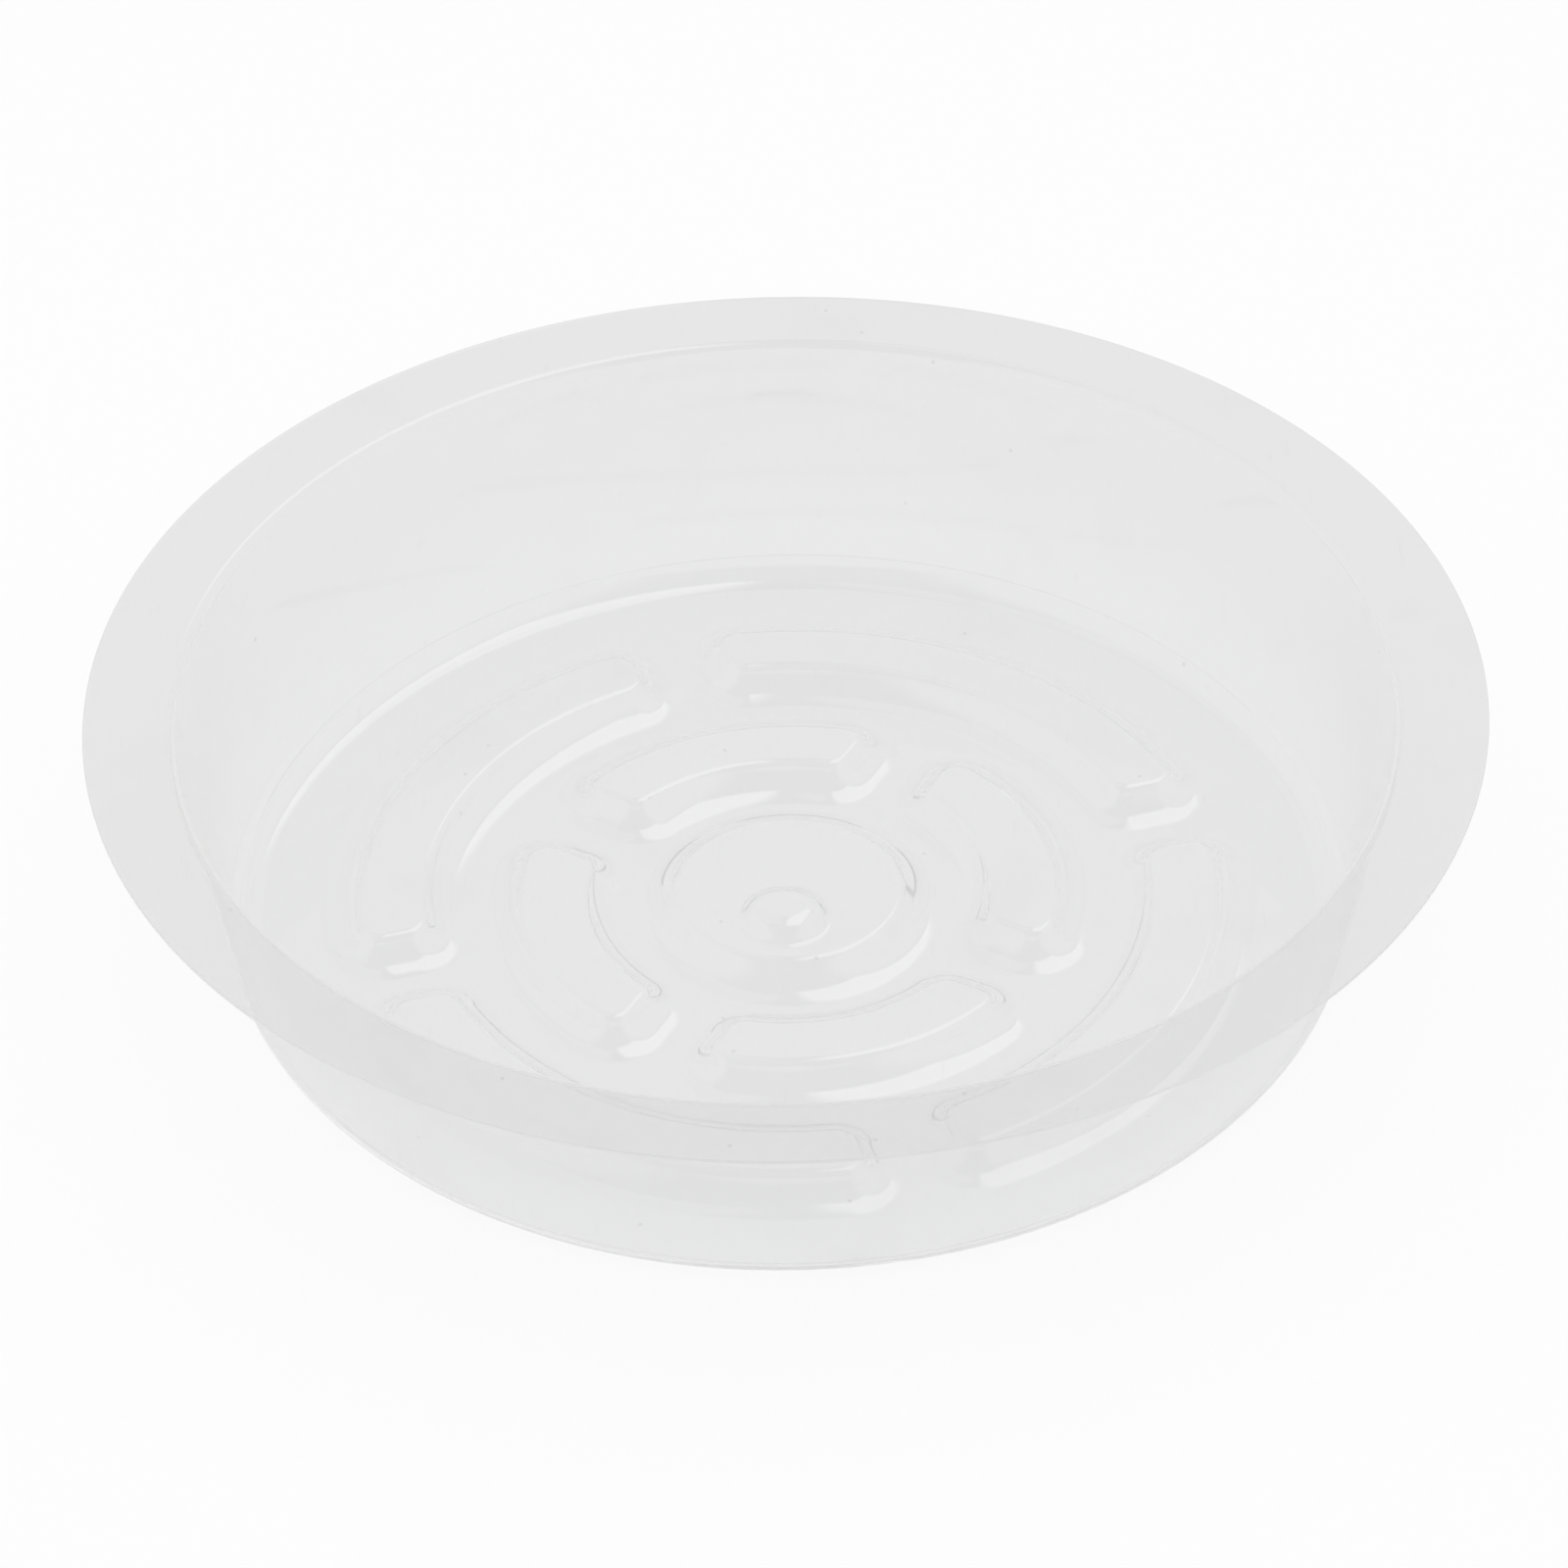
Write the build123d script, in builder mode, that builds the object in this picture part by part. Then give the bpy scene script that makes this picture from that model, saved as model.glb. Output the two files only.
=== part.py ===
from build123d import *
from math import atan2, cos, degrees, radians, sin, tan
import os

# A clear plant saucer, formed from a single plastic sheet and trimmed round the flange.
# Lengths are in millimetres and angles in degrees. The origin is the middle of the floor's
# underside, where the saucer rests, and +Z is up.

# Sheet, wall and flange
sheet = 0.4
height = 34.0
mouth_diameter = 152.4
wall_draft = 10.3
flange_width = 11.1
fold_radius = 1.6
corner_radius = 4.2

# Disc in the middle of the floor
disc_crest_diameter = 28.8
disc_draft = 45

# Curved ribs, in two rings with their gaps staggered
ribs_per_ring = 4
rib_height = 3.2
rib_draft = 35
rib_crest_width = 8.3
rib_end_radius = 2.6
rib_gap = 7.5
inner_channel = 5.9
outer_channel = 7.7
inner_gap_angle = 61
outer_gap_angle = 16

# Nub on the disc, off its middle and clear of the disc's crest by this much at its foot
nub_crest_diameter = 8.0
nub_height = 2.0
nub_draft = 40
nub_clearance = 2.8
nub_angle = 264

# Rounding of the raised forms: wide at the feet of the disc and the ribs and on the nub
foot_radius = 5.8
nub_crest_radius = 3.8

# Flats in each rounding
flats_per_corner = 2
flats_per_fold = 1
flats_per_foot = 1
flats_per_nub_crest = 1

# The forming blocks go this far below the floor, and the hollow's block as far past the rim
overrun = 6.0

floor_top = sheet
wall_height = height - floor_top
pot_level = floor_top + rib_height
mouth_radius = mouth_diameter / 2
rim_radius = mouth_radius + flange_width
base_radius = mouth_radius - wall_height * tan(radians(wall_draft))

# Each sloping side runs out this far from its crest to its foot
rib_run = rib_height * tan(radians(rib_draft))
disc_run = rib_height * tan(radians(disc_draft))
nub_run = nub_height * tan(radians(nub_draft))

rib_foot_width = rib_crest_width + 2 * rib_run
disc_foot_radius = disc_crest_diameter / 2 + disc_run
nub_foot_reach = nub_crest_diameter / 2 + nub_run
nub_offset = disc_crest_diameter / 2 - nub_clearance - nub_foot_reach
nub_across = nub_offset * cos(radians(nub_angle))
nub_along = nub_offset * sin(radians(nub_angle))
inner_ring_radius = disc_foot_radius + inner_channel + rib_foot_width / 2
outer_ring_radius = inner_ring_radius + rib_foot_width + outer_channel


def bend(steepest, flats):
    """Angles at the corners of a bend made of flats, and how far past its radius they lie."""
    half_step = steepest / (2 * (flats + 1))
    return [half_step * (2 * i + 1) for i in range(flats + 1)], 1 / cos(half_step)


def side(rise, draft, foot, crest, flats_at_foot, flats_at_crest):
    """Points up a sloping side: distance out from where its slope meets the ground, and height."""
    steepest = radians(90 - draft)
    foot_end = foot * tan(steepest / 2)
    crest_end = rise * tan(radians(draft)) + crest * tan(steepest / 2)
    angles, reach = bend(steepest, flats_at_foot)
    points = [(foot_end - foot * reach * sin(a), foot - foot * reach * cos(a)) for a in angles]
    angles, reach = bend(steepest, flats_at_crest)
    for a in reversed(angles):
        points.append((crest * reach * sin(a) - crest_end, rise - crest + crest * reach * cos(a)))
    return points


def lowered(points, depth):
    """The same side at a depth below, measured square to each of its flats."""
    steps = zip(points, points[1:])
    tilts = [atan2(next_up - up, out - next_out) for (out, up), (next_out, next_up) in steps]
    moved = []
    for (out, up), before, after in zip(points, [0] + tilts, tilts + [0]):
        middle = (before + after) / 2
        reach = depth / cos((after - before) / 2)
        moved.append((out - reach * sin(middle), up - reach * cos(middle)))
    return moved


def block(depth, radius, bottom):
    """Forming block with the saucer's upper skin, or with a skin at a depth below that."""
    wall_side = lowered(upper_wall_side, depth)
    disc_side = lowered(upper_disc_side, depth)
    rib_side = lowered(upper_rib_side, depth)
    nub_side = lowered(upper_nub_side, depth)
    with BuildPart() as made:
        # Flange, wall, floor and disc
        with BuildSketch(Plane.XZ):
            with BuildLine():
                Polyline(
                    (0, bottom),
                    (radius, bottom),
                    (radius, height - depth),
                    *[(base_radius - out, floor_top + up) for out, up in reversed(wall_side)],
                    *[(disc_foot_radius + out, floor_top + up) for out, up in disc_side],
                    (0, pot_level - depth),
                    close=True,
                )
            make_face()
        revolve(axis=Axis.Z)

        # Two rings of ribs, each ring parted by straight gaps and widened downwards flat by flat
        for ring_radius, gap_angle in (
            (inner_ring_radius, inner_gap_angle),
            (outer_ring_radius, outer_gap_angle),
        ):
            for (out, up), (next_out, next_up) in zip(rib_side, rib_side[1:]):
                with BuildSketch(Plane.XY.offset(floor_top + next_up)) as ring:
                    Circle(ring_radius + rib_foot_width / 2 + next_out)
                    Circle(ring_radius - rib_foot_width / 2 - next_out, mode=Mode.SUBTRACT)
                    with PolarLocations(ring_radius, ribs_per_ring, start_angle=gap_angle):
                        Rectangle(2 * rib_foot_width, rib_gap - 2 * next_out, mode=Mode.SUBTRACT)
                    fillet(ring.vertices(), rib_end_radius + rib_run + next_out)
                extrude(amount=up - next_up, taper=degrees(atan2(next_out - out, next_up - up)))

        # Nub on the disc
        with BuildSketch(Plane.XZ.offset(-nub_along)):
            with BuildLine():
                Polyline(
                    (nub_across, pot_level - depth),
                    *[(nub_across + nub_foot_reach + out, pot_level + up) for out, up in nub_side],
                    (nub_across, pot_level + nub_height - depth),
                    close=True,
                )
            make_face()
        revolve(axis=Axis((nub_across, nub_along, 0), (0, 0, 1)))
    return made.part


os.makedirs("parts", exist_ok=True)

upper_wall_side = side(wall_height, wall_draft, corner_radius, fold_radius, flats_per_corner, flats_per_fold)
upper_disc_side = side(rib_height, disc_draft, foot_radius, 0, flats_per_foot, 0)
upper_rib_side = side(rib_height, rib_draft, foot_radius, 0, flats_per_foot, 0)
upper_nub_side = side(nub_height, nub_draft, 0, nub_crest_radius, 0, flats_per_nub_crest)

# One thickness of sheet is left between the two blocks, so that every raised form is hollow
with BuildPart() as saucer:
    add(block(0, rim_radius, -overrun))
    add(block(sheet, rim_radius + overrun, -2 * overrun), mode=Mode.SUBTRACT)

saucer.part.label = "saucer"
export_step(saucer.part, "parts/saucer.step")
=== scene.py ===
from math import asin, cos, pi, radians, sin, tan

import bmesh
import bpy
from mathutils import Matrix, Vector


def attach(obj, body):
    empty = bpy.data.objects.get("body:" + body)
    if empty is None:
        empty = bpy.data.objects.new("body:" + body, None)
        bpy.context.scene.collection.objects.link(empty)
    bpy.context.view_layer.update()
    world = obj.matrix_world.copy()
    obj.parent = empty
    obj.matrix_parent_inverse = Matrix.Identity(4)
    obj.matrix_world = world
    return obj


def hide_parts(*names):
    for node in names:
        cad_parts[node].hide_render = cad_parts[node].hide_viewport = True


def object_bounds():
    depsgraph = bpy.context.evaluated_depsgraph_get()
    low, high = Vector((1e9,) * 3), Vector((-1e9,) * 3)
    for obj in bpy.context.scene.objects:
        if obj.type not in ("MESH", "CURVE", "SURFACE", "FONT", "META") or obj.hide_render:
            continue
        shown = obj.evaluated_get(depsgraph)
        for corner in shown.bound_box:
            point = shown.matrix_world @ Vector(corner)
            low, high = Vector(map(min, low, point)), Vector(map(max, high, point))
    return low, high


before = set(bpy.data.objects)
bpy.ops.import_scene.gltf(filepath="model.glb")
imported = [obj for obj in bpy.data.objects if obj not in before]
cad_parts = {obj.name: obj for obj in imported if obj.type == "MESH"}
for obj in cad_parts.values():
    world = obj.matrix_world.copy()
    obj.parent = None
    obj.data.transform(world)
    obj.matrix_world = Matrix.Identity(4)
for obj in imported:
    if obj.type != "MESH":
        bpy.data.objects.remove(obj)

# A clear plant saucer, formed from one plastic sheet, on a pale studio floor.
# Lengths are in metres, in the frame of the solids: the origin is the middle of the
# floor's underside, +Z is up and the camera stands on the -Y side.

cad_low, cad_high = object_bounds()

# Sheet, wall and flange
SHEET = 0.0004
HEIGHT = cad_high.z
RIM_RADIUS = cad_high.x
FLANGE_WIDTH = 0.0111
WALL_DRAFT = radians(10.3)
CORNER_RADIUS = 0.0042
FOLD_RADIUS = 0.0016

# Disc, ribs and nub
RISE = 0.0032
DISC_CREST_RADIUS = 0.0144
DISC_DRAFT = radians(45)
RIBS_PER_RING = 4
RIB_DRAFT = radians(35)
RIB_CREST_WIDTH = 0.0083
RIB_END_RADIUS = 0.0026
RIB_GAP = 0.0075
INNER_CHANNEL = 0.0059
OUTER_CHANNEL = 0.0077
INNER_GAP_ANGLE = radians(61)
OUTER_GAP_ANGLE = radians(16)
NUB_CREST_RADIUS = 0.0040
NUB_RISE = 0.0020
NUB_DRAFT = radians(40)
NUB_CLEARANCE = 0.0028
NUB_ANGLE = radians(264)

# Rounding of the raised forms
CREST_ROUND = 0.0016
FOOT_ROUND = 0.0058
NUB_CREST_ROUND = 0.0038
NUB_FOOT_ROUND = 0.0016

# How finely the skin is divided
ROUND_STEPS = 288
NUB_STEPS = 96
ARC_STEPS = 56
CORNER_STEPS = 9
FOOT_STEPS = 9
CREST_STEPS = 7
EDGE_STEPS = 6

FLOOR_TOP = SHEET
MOUTH_RADIUS = RIM_RADIUS - FLANGE_WIDTH
WALL_RISE = HEIGHT - FLOOR_TOP
BASE_RADIUS = MOUTH_RADIUS - WALL_RISE * tan(WALL_DRAFT)
RIB_RUN = RISE * tan(RIB_DRAFT)
RIB_FOOT_WIDTH = RIB_CREST_WIDTH + 2 * RIB_RUN
DISC_FOOT_RADIUS = DISC_CREST_RADIUS + RISE * tan(DISC_DRAFT)
NUB_FOOT_RADIUS = NUB_CREST_RADIUS + NUB_RISE * tan(NUB_DRAFT)
NUB_OFFSET = DISC_CREST_RADIUS - NUB_CLEARANCE - NUB_FOOT_RADIUS
NUB_PLACE = (NUB_OFFSET * cos(NUB_ANGLE), NUB_OFFSET * sin(NUB_ANGLE))
INNER_RING_RADIUS = DISC_FOOT_RADIUS + INNER_CHANNEL + RIB_FOOT_WIDTH / 2
OUTER_RING_RADIUS = INNER_RING_RADIUS + RIB_FOOT_WIDTH + OUTER_CHANNEL


# Outlines, as points with the direction that faces away from the raised form.
# That direction is on the right of the way the outline runs.

def spread(first, last, steps, closed=False):
    """Even values from first to last; without the last one unless closed."""
    return [first + (last - first) * i / steps for i in range(steps + closed)]


def arc_points(centre, radius, angles, facing=1):
    """Outline points on an arc about centre; facing -1 turns their directions inwards."""
    return [
        (
            Vector((centre[0] + radius * cos(a), centre[1] + radius * sin(a))),
            facing * Vector((cos(a), sin(a))),
        )
        for a in angles
    ]


def round_outline(radius, centre=(0, 0), steps=ROUND_STEPS):
    """Foot of a round form, run counter-clockwise."""
    return arc_points(centre, radius, spread(0, 2 * pi, steps))


def bowl_outline(radius):
    """Foot of the wall, which rises outwards and faces the middle, run clockwise."""
    return arc_points((0, 0), radius, spread(0, -2 * pi, ROUND_STEPS), facing=-1)


def rib_outline(ring_radius, gap_angle):
    """Foot of one rib, from the straight gap at gap_angle round to the next gap."""
    inner = ring_radius - RIB_FOOT_WIDTH / 2
    outer = ring_radius + RIB_FOOT_WIDTH / 2
    end_round = RIB_END_RADIUS + RIB_RUN
    inset = RIB_GAP / 2 + end_round
    outer_lead = asin(inset / (outer - end_round))
    inner_lead = asin(inset / (inner + end_round))
    first = gap_angle
    last = gap_angle + 2 * pi / RIBS_PER_RING

    def corner(radius, angle):
        return (radius * cos(angle), radius * sin(angle))

    points = arc_points((0, 0), outer, spread(first + outer_lead, last - outer_lead, ARC_STEPS))
    for radius, angle, start, stop in (
        (outer - end_round, last - outer_lead, last - outer_lead, last + pi / 2),
        (inner + end_round, last - inner_lead, last + pi / 2, last - inner_lead + pi),
    ):
        points += arc_points(corner(radius, angle), end_round, spread(start, stop, CORNER_STEPS, True))
    inside = spread(last - inner_lead, first + inner_lead, ARC_STEPS)
    points += arc_points((0, 0), inner, inside[1:], facing=-1)
    for radius, angle, start, stop in (
        (inner + end_round, first + inner_lead, first + inner_lead + pi, first + 3 * pi / 2),
        (outer - end_round, first + outer_lead, first - pi / 2, first + outer_lead),
    ):
        points += arc_points(corner(radius, angle), end_round, spread(start, stop, CORNER_STEPS, True))
    return points[:-1]


def side_profile(rise, draft, foot_round, crest_round):
    """Rows of (distance out from the sharp foot, height, tilt) up a rounded sloping side."""
    steepest = pi / 2 - draft
    run = rise * tan(draft)
    foot_reach = foot_round * tan(steepest / 2)
    crest_reach = crest_round * tan(steepest / 2)
    rows = [
        (foot_reach - foot_round * sin(t), foot_round * (1 - cos(t)), t)
        for t in spread(0, steepest, FOOT_STEPS, True)
    ]
    rows += [
        (crest_round * sin(t) - run - crest_reach, rise - crest_round * (1 - cos(t)), t)
        for t in spread(steepest, 0, CREST_STEPS, True)
    ]
    return rows


class FormedSheet:
    """The upper skin of the sheet, with the direction that each point faces."""

    def __init__(self):
        self.skin = bmesh.new()
        self.facing = []

    def loop(self, outline, out, level, tilt):
        """Adds the outline, moved out and up, facing tilt away from upright."""
        made = []
        for place, away in outline:
            spot = place + out * away
            made.append(self.skin.verts.new((spot.x, spot.y, level)))
            self.facing.append(Vector((away.x * sin(tilt), away.y * sin(tilt), cos(tilt))))
        return made

    def bridge(self, low, high):
        """Faces between two loops that run side by side."""
        for i, start in enumerate(low):
            j = (i + 1) % len(low)
            self.skin.faces.new((start, low[j], high[j], high[i]))

    def raise_side(self, outline, level, rise, draft, foot_round, crest_round):
        """A sloping side round the outline. Returns its foot loop and its crest loop."""
        loops = [
            self.loop(outline, out, level + up, tilt)
            for out, up, tilt in side_profile(rise, draft, foot_round, crest_round)
        ]
        for low, high in zip(loops, loops[1:]):
            self.bridge(low, high)
        return loops[0], loops[-1]

    def fill(self, *loops):
        """A flat area inside the first loop and outside the others."""
        edges = []
        for loop in loops:
            for i, vert in enumerate(loop):
                pair = (vert, loop[(i + 1) % len(loop)])
                edges.append(self.skin.edges.get(pair) or self.skin.edges.new(pair))
        made = bmesh.ops.triangle_fill(self.skin, edges=edges, use_beauty=True, normal=(0, 0, 1))
        for face in made["geom"]:
            if isinstance(face, bmesh.types.BMFace) and face.normal.z < 0:
                face.normal_flip()

    def trim(self, rim, radius):
        """Adds the lower skin and closes the trimmed edge round the rim loop. Returns the mesh."""
        self.skin.verts.index_update()
        uppers = list(self.skin.verts)
        faces = list(self.skin.faces)
        lowers = [self.skin.verts.new(v.co - SHEET * self.facing[v.index]) for v in uppers]
        self.facing += [-n for n in self.facing]
        for face in faces:
            self.skin.faces.new([lowers[v.index] for v in reversed(face.verts)])
        edge = [rim]
        for t in spread(0, pi, EDGE_STEPS)[1:]:
            ring = []
            for vert in rim:
                away = Vector((vert.co.x, vert.co.y, 0)).normalized()
                spot = away * (radius - SHEET / 2 + SHEET / 2 * sin(t))
                spot.z = vert.co.z - SHEET / 2 + SHEET / 2 * cos(t)
                ring.append(self.skin.verts.new(spot))
                self.facing.append(away * sin(t) + Vector((0, 0, cos(t))))
            edge.append(ring)
        edge.append([lowers[v.index] for v in rim])
        for low, high in zip(edge, edge[1:]):
            self.bridge(low, high)
        mesh = bpy.data.meshes.new("formed_sheet")
        self.skin.to_mesh(mesh)
        self.skin.free()
        for face in mesh.polygons:
            face.use_smooth = True
        mesh.normals_split_custom_set_from_vertices([tuple(n) for n in self.facing])
        return mesh


def form_saucer():
    """The whole saucer as one closed sheet."""
    sheet = FormedSheet()
    wall_foot, fold = sheet.raise_side(
        bowl_outline(BASE_RADIUS), FLOOR_TOP, WALL_RISE, WALL_DRAFT, CORNER_RADIUS, FOLD_RADIUS
    )
    rim = sheet.loop(bowl_outline(RIM_RADIUS - SHEET / 2), 0, HEIGHT, 0)
    sheet.bridge(fold, rim)

    feet = []
    for ring_radius, gap_angle in (
        (INNER_RING_RADIUS, INNER_GAP_ANGLE),
        (OUTER_RING_RADIUS, OUTER_GAP_ANGLE),
    ):
        for i in range(RIBS_PER_RING):
            outline = rib_outline(ring_radius, gap_angle + i * 2 * pi / RIBS_PER_RING)
            foot, crest = sheet.raise_side(
                outline, FLOOR_TOP, RISE, RIB_DRAFT, FOOT_ROUND, CREST_ROUND
            )
            sheet.fill(crest)
            feet.append(foot)

    disc_foot, disc_crest = sheet.raise_side(
        round_outline(DISC_FOOT_RADIUS), FLOOR_TOP, RISE, DISC_DRAFT, FOOT_ROUND, CREST_ROUND
    )
    nub_foot, nub_crest = sheet.raise_side(
        round_outline(NUB_FOOT_RADIUS, NUB_PLACE, NUB_STEPS),
        FLOOR_TOP + RISE, NUB_RISE, NUB_DRAFT, NUB_FOOT_ROUND, NUB_CREST_ROUND,
    )
    sheet.fill(nub_crest)
    sheet.fill(disc_crest, nub_foot)
    sheet.fill(wall_foot, disc_foot, *feet)

    saucer = bpy.data.objects.new("clear_saucer", sheet.trim(rim, RIM_RADIUS))
    bpy.context.scene.collection.objects.link(saucer)
    return saucer


# Sheet: clear low down, greying a little from the rib crests upwards and fully on the upper wall and
# flange, and dull where it is worn
SHEET_IOR = 1.53
CLEAR_TINT = (0.998, 1, 1, 1)
DULL_TINT = (0.5, 0.5, 0.48, 1)
UPPER_GREY_LEVEL = 0.024
UPPER_GREYING = 0.078
GLOSS_ROUGHNESS = 0.02

# Ripples left by the forming, smudges, hairline scuffs and dust: how many lie in a metre, between
# which values of their pattern they fade in, and how much they roughen and dull the sheet
RIPPLES = 40
RIPPLE_DETAIL = 1
RIPPLE_HEIGHT = 0.00015
RIPPLE_STRENGTH = 0.12
SMUDGES = 55
SMUDGE_DETAIL = 2
SMUDGE_FADE = (0.55, 0.75)
SMUDGE_ROUGHNESS = 0.04
SMUDGE_DULLING = 0.03
SCUFFS = 150
SCUFF_DETAIL = 1
SCUFF_FADE = (0.70, 0.78)
SCUFF_SQUEEZE = (9, 1, 4)
SCUFF_TURN = (0, 0, 0.6)
SCUFF_ROUGHNESS = 0.08
SCUFF_DULLING = 0.04
SPECKS = 110
SPECK_FADE = (0.045, 0.02)
SPECK_DULLING = 0.3

# Light that the sheet lets straight through, and the mirrored share from which light is caught
PASSED_TINT = (0.98, 0.98, 0.98, 1)
SHADOW_TINT = (0.95, 0.95, 0.95, 1)
CAUGHT_SHARE = 0.9

# Paper: its own light, white to the camera and grey in or through the sheet, and that light's share
PAPER_TINT = (0.95, 0.95, 0.95, 1)
PAPER_ROUGHNESS = 0.9
PAPER_GLOSS = 0.1
PAPER_WHITE = (1, 1, 1, 1)
PAPER_GREY = (0.78, 0.78, 0.78, 1)
OWN_LIGHT_SHARE = 0.65


class Value:
    """An output socket. Sums, products and comparisons of values add Math nodes beside it."""

    def __init__(self, graph, socket):
        self.graph = graph
        self.socket = socket

    def maths(self, operation, first, second):
        return self.graph.node("ShaderNodeMath", {"operation": operation}, {0: first, 1: second})

    def __add__(self, other):
        return self.maths("ADD", self, other)

    def __mul__(self, other):
        return self.maths("MULTIPLY", self, other)

    def __mod__(self, other):
        return self.maths("MODULO", self, other)

    def __gt__(self, other):
        return self.maths("GREATER_THAN", self, other)

    def __rsub__(self, other):
        return self.maths("SUBTRACT", other, self)

    __radd__ = __add__
    __rmul__ = __mul__


def largest(first, second):
    """The larger of two values."""
    return first.maths("MAXIMUM", first, second)


class Graph:
    """The nodes of one material or of the world."""

    def __init__(self, owner):
        self.owner = owner
        owner.use_nodes = True
        self.tree = owner.node_tree
        self.tree.nodes.clear()

    def node(self, kind, settings=None, sockets=None, out=0):
        """Adds a node: its settings first, then the values or links of its sockets."""
        made = self.tree.nodes.new(kind)
        for name, setting in (settings or {}).items():
            setattr(made, name, setting)
        for name, value in (sockets or {}).items():
            if isinstance(value, Value):
                self.tree.links.new(value.socket, made.inputs[name])
            else:
                made.inputs[name].default_value = value
        return Value(self, made.outputs[out]) if made.outputs else made

    def ease(self, value, low, high):
        """0 where value is at low, eased to 1 where it is at high."""
        return self.node(
            "ShaderNodeMapRange",
            {"interpolation_type": "SMOOTHSTEP"},
            {"Value": value, "From Min": low, "From Max": high},
        )


def clear_sheet_material():
    """Clear gloss sheet with faint forming ripples, smudges, hairline scuffs and a little dust."""
    graph = Graph(bpy.data.materials.new("clear_gloss_sheet"))
    place = graph.node("ShaderNodeTexCoord", out="Object")

    def light_path(kind):
        return graph.node("ShaderNodeLightPath", out=kind)

    def noise(scale, detail, spot=place):
        return graph.node("ShaderNodeTexNoise", {}, {"Vector": spot, "Scale": scale, "Detail": detail})

    ripple = noise(RIPPLES, RIPPLE_DETAIL)
    smudge = graph.ease(noise(SMUDGES, SMUDGE_DETAIL), *SMUDGE_FADE)
    drawn_out = graph.node(
        "ShaderNodeMapping", {}, {"Vector": place, "Scale": SCUFF_SQUEEZE, "Rotation": SCUFF_TURN}
    )
    scuff = graph.ease(noise(SCUFFS, SCUFF_DETAIL, drawn_out), *SCUFF_FADE)
    dust = graph.node("ShaderNodeTexVoronoi", {"feature": "F1"}, {"Vector": place, "Scale": SPECKS})
    speck = graph.ease(dust, *SPECK_FADE)
    # The sheet is a little greyer the higher it stands, from the rib crests up to the upper wall and
    # flange
    level = graph.node("ShaderNodeSeparateXYZ", {}, {0: place}, out="Z")
    greyed_higher = graph.ease(level, FLOOR_TOP + RISE, UPPER_GREY_LEVEL)
    worn = SMUDGE_DULLING * smudge + SCUFF_DULLING * scuff + SPECK_DULLING * speck
    dulled = worn + UPPER_GREYING * greyed_higher
    tint = graph.node(
        "ShaderNodeMix", {"data_type": "RGBA"}, {"Factor": dulled, "A": CLEAR_TINT, "B": DULL_TINT}, out=2
    )
    bump = graph.node(
        "ShaderNodeBump", {},
        {"Strength": RIPPLE_STRENGTH, "Distance": RIPPLE_HEIGHT, "Height": ripple},
    )
    shader = graph.node(
        "ShaderNodeBsdfPrincipled", {},
        {
            "Base Color": tint,
            "Roughness": GLOSS_ROUGHNESS + SMUDGE_ROUGHNESS * smudge + SCUFF_ROUGHNESS * scuff,
            "IOR": SHEET_IOR,
            "Transmission Weight": 1.0,
            "Normal": bump,
        },
    )
    # Light that meets the sheet after it was mirrored passes straight through, and so does light
    # that would be caught inside. Light on its way to the floor passes too, a little weaker.
    turned = light_path("Glossy Depth") > 0
    inside = light_path("Transmission Depth") % 2
    caught = graph.node("ShaderNodeFresnel", {}, {"IOR": SHEET_IOR}) > CAUGHT_SHARE
    let_through = largest(turned * (1 - inside), caught * inside)
    to_floor = largest(light_path("Is Shadow Ray"), light_path("Is Diffuse Ray"))
    passed = graph.node("ShaderNodeBsdfTransparent", {}, {"Color": PASSED_TINT})
    dimmed = graph.node("ShaderNodeBsdfTransparent", {}, {"Color": SHADOW_TINT})
    shown = graph.node("ShaderNodeMixShader", {}, {0: let_through, 1: shader, 2: passed})
    surface = graph.node("ShaderNodeMixShader", {}, {0: to_floor, 1: shown, 2: dimmed})
    graph.node("ShaderNodeOutputMaterial", {}, {"Surface": surface})
    return graph.owner


def floor_material():
    """Plain pale paper, most of whose brightness is its own; white around the sheet, grey through it."""
    graph = Graph(bpy.data.materials.new("pale_paper"))
    paper = graph.node(
        "ShaderNodeBsdfPrincipled", {},
        {"Base Color": PAPER_TINT, "Roughness": PAPER_ROUGHNESS, "Specular IOR Level": PAPER_GLOSS},
    )
    white = graph.node("ShaderNodeEmission", {}, {"Color": PAPER_WHITE, "Strength": 1.0})
    grey = graph.node("ShaderNodeEmission", {}, {"Color": PAPER_GREY, "Strength": 1.0})
    seen = graph.node("ShaderNodeLightPath", out="Is Camera Ray")
    shown = graph.node("ShaderNodeMixShader", {}, {0: seen, 1: grey, 2: white})
    for ray in ("Is Glossy Ray", "Is Transmission Ray"):
        seen = largest(seen, graph.node("ShaderNodeLightPath", out=ray))
    surface = graph.node("ShaderNodeMixShader", {}, {0: OWN_LIGHT_SHARE * seen, 1: paper, 2: shown})
    graph.node("ShaderNodeOutputMaterial", {}, {"Surface": surface})
    return graph.owner


saucer = form_saucer()
saucer.data.materials.append(clear_sheet_material())
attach(saucer, "root")
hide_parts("saucer")


# Studio: a pale floor that turns up into a low backdrop all round, and soft light

FLOOR_DROP = 0.0001
FLOOR_RADIUS = 3.0
FLOOR_INNER_RADIUS = 0.75
BACKDROP_RISE = 0.6
BACKDROP_ROUND = 0.4
FLOOR_STEPS = 96


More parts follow.
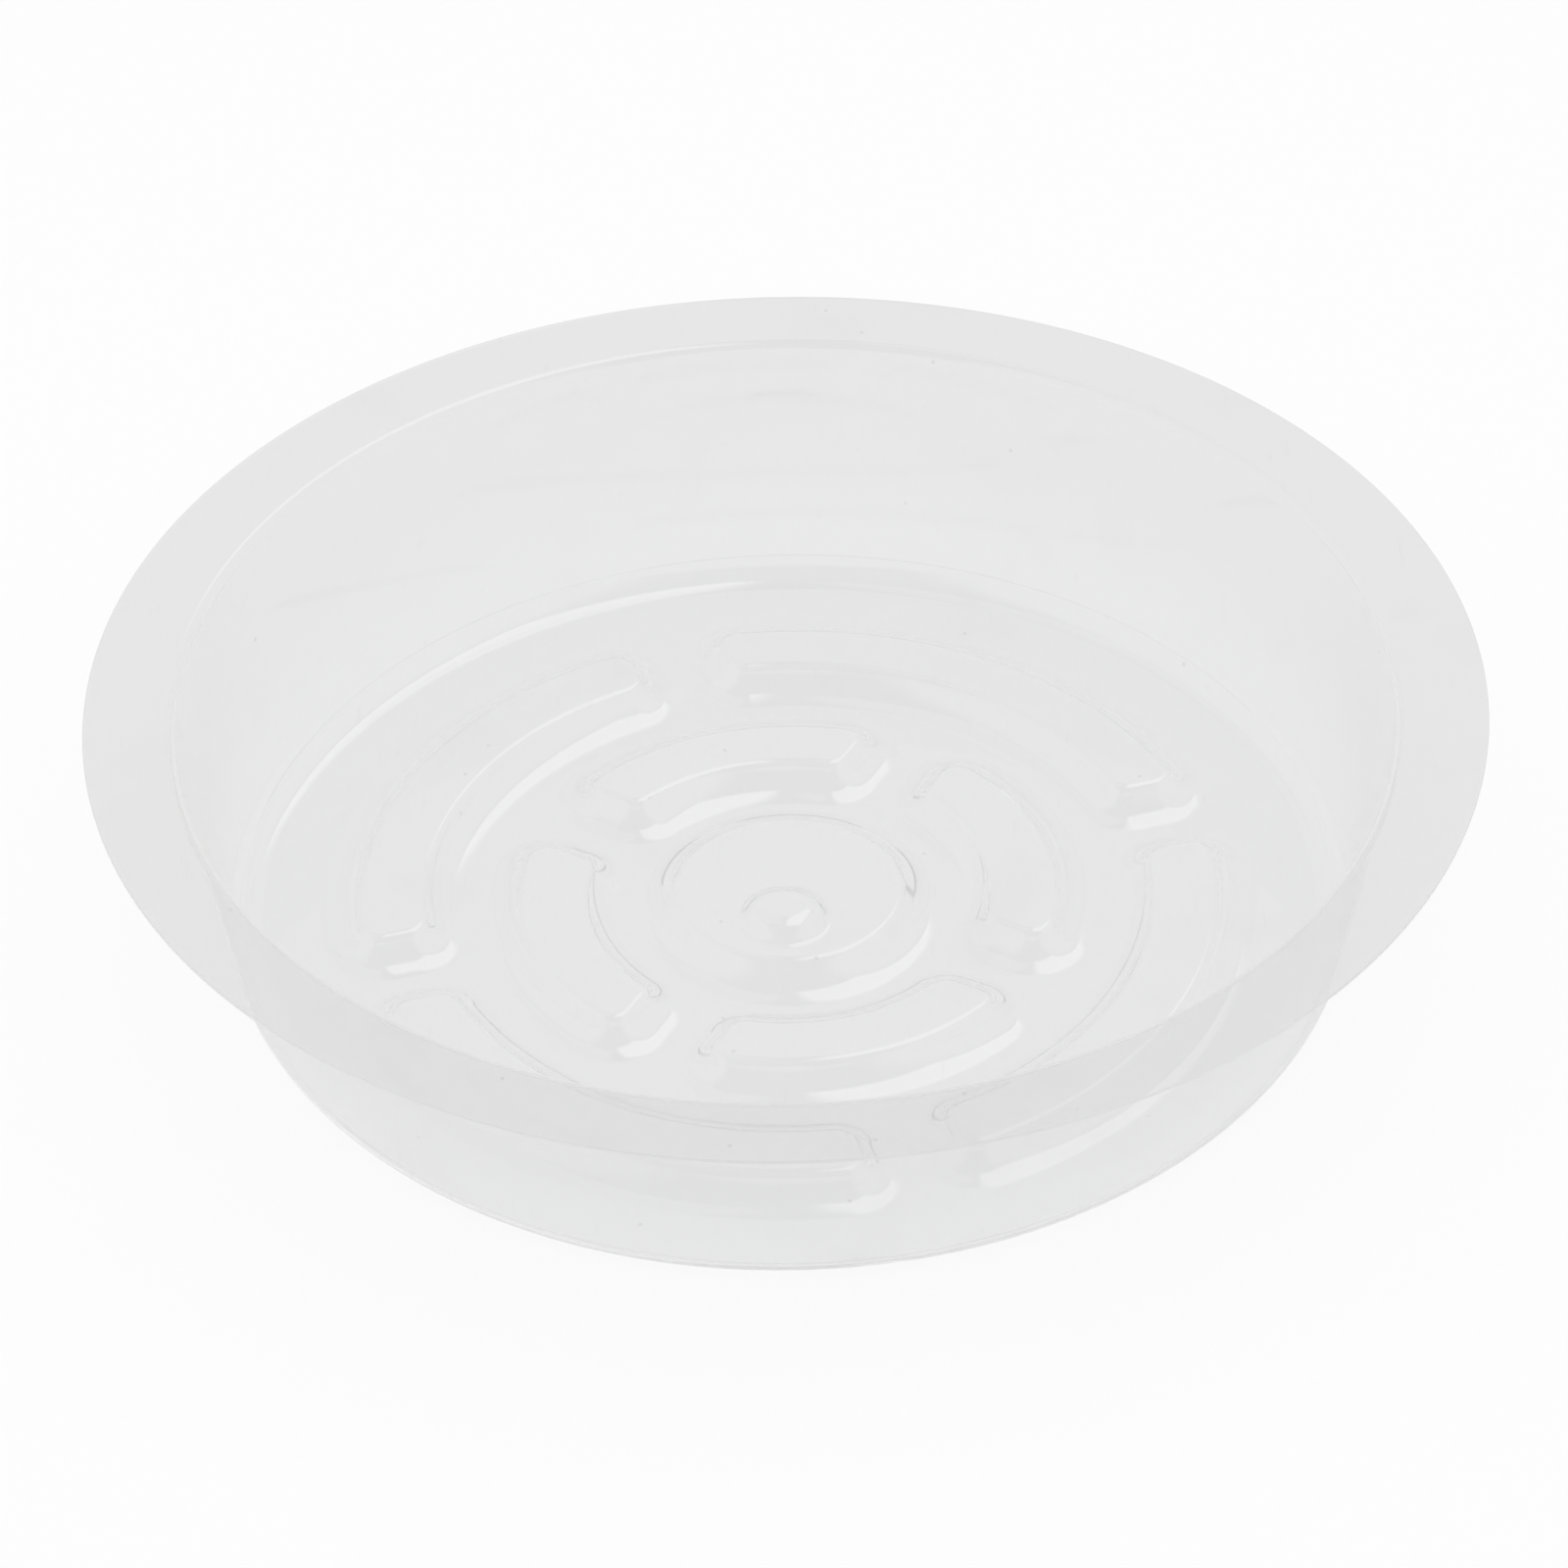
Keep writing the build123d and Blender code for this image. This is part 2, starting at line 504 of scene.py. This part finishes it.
def lay_floor():
    """A round sheet of paper that curves up at its edge."""
    paper = bmesh.new()
    middle = paper.verts.new((0, 0, 0))
    rows = [(FLOOR_INNER_RADIUS, 0), (FLOOR_RADIUS, 0)]
    rows += [
        (FLOOR_RADIUS + BACKDROP_ROUND * sin(t), BACKDROP_ROUND * (1 - cos(t)))
        for t in spread(0, pi / 2, CORNER_STEPS, True)[1:]
    ]
    rows.append((FLOOR_RADIUS + BACKDROP_ROUND, BACKDROP_RISE))
    rings = [
        [paper.verts.new((r * cos(a), r * sin(a), z)) for a in spread(0, 2 * pi, FLOOR_STEPS)]
        for r, z in rows
    ]
    for i in range(FLOOR_STEPS):
        j = (i + 1) % FLOOR_STEPS
        paper.faces.new((middle, rings[0][i], rings[0][j]))
        for low, high in zip(rings, rings[1:]):
            paper.faces.new((low[i], high[i], high[j], low[j]))
    mesh = bpy.data.meshes.new("studio_floor")
    paper.to_mesh(mesh)
    paper.free()
    mesh.materials.append(floor_material())
    for face in mesh.polygons:
        face.use_smooth = True
    floor = bpy.data.objects.new("studio_floor", mesh)
    floor.location.z = -FLOOR_DROP
    bpy.context.scene.collection.objects.link(floor)


# A grey room, with a large soft panel overhead on the right, a weaker one on the left and
# a dark gap between them, as the ribs mirror them. One more lamp lights the floor evenly.
# Extents are shares of the direction's length: from, to, and half the width of the soft edge.
LIGHT_TINT = (1, 1, 1, 1)
ROOM_LEVEL = 0.75
GAP_LEVEL = -0.45
GAP_ACROSS = (-0.45, 0.45, 0.15)
GAP_ALONG = (-0.8, 0.67, 0.07)
RIGHT_PANEL_LEVEL = 1.05
RIGHT_PANEL_ACROSS = (0.04, 0.43, 0.03)
RIGHT_PANEL_ALONG = (0.0, 0.68, 0.05)
LEFT_PANEL_LEVEL = 0.3
LEFT_PANEL_ACROSS = (-0.43, -0.04, 0.03)
LEFT_PANEL_ALONG = (0.15, 0.68, 0.05)
LAMP_SIZE = 1.6
LAMP_HEIGHT = 1.8
LAMP_WATTS = 14


def light_studio():
    """The room and its panels as the world, and the lamp."""
    scene = bpy.context.scene
    scene.world = bpy.data.worlds.new("studio_light")
    graph = Graph(scene.world)
    way = graph.node("ShaderNodeTexCoord", out="Generated")
    across = graph.node("ShaderNodeSeparateXYZ", {}, {0: way}, out="X")
    along = graph.node("ShaderNodeSeparateXYZ", {}, {0: way}, out="Y")

    def between(value, low, high, soft):
        return graph.ease(value, low - soft, low + soft) * graph.ease(value, high + soft, high - soft)

    gap = between(across, *GAP_ACROSS) * between(along, *GAP_ALONG)
    right = between(across, *RIGHT_PANEL_ACROSS) * between(along, *RIGHT_PANEL_ALONG)
    left = between(across, *LEFT_PANEL_ACROSS) * between(along, *LEFT_PANEL_ALONG)
    level = ROOM_LEVEL + GAP_LEVEL * gap + RIGHT_PANEL_LEVEL * right + LEFT_PANEL_LEVEL * left
    light = graph.node("ShaderNodeBackground", {}, {"Color": LIGHT_TINT, "Strength": level})
    graph.node("ShaderNodeOutputWorld", {}, {"Surface": light})

    data = bpy.data.lights.new("overhead_lamp", "AREA")
    data.size = LAMP_SIZE
    data.energy = LAMP_WATTS
    lamp = bpy.data.objects.new("overhead_lamp", data)
    lamp.location.z = LAMP_HEIGHT
    lamp.visible_glossy = False
    lamp.visible_transmission = False
    scene.collection.objects.link(lamp)


# Camera at the photograph's angle
CAMERA_ELEVATION = radians(38.5)
CAMERA_DISTANCE = 0.9475
CAMERA_ROLL = radians(-1.105)
CAMERA_ASIDE = -0.00034
CAMERA_RAISED = 0.01583
LENS_PIXELS = 7600
FRAME_PIXELS = 1600
SENSOR_MM = 36


def set_camera():
    """The camera that was fitted to the photograph, with its small roll."""
    back = Vector((0, -cos(CAMERA_ELEVATION), sin(CAMERA_ELEVATION)))
    right = Vector((1, 0, 0))
    up = back.cross(right)
    across = cos(CAMERA_ROLL) * right + sin(CAMERA_ROLL) * up
    upward = cos(CAMERA_ROLL) * up - sin(CAMERA_ROLL) * right
    data = bpy.data.cameras.new("photo_camera")
    data.sensor_width = SENSOR_MM
    data.lens = LENS_PIXELS / FRAME_PIXELS * SENSOR_MM
    camera = bpy.data.objects.new("photo_camera", data)
    camera.matrix_world = Matrix.Translation(
        CAMERA_DISTANCE * back + CAMERA_ASIDE * right + CAMERA_RAISED * up
    ) @ Matrix((across, upward, back)).transposed().to_4x4()
    bpy.context.scene.collection.objects.link(camera)
    bpy.context.scene.camera = camera


lay_floor()
light_studio()
set_camera()
bpy.context.scene.view_settings.view_transform = "Standard"
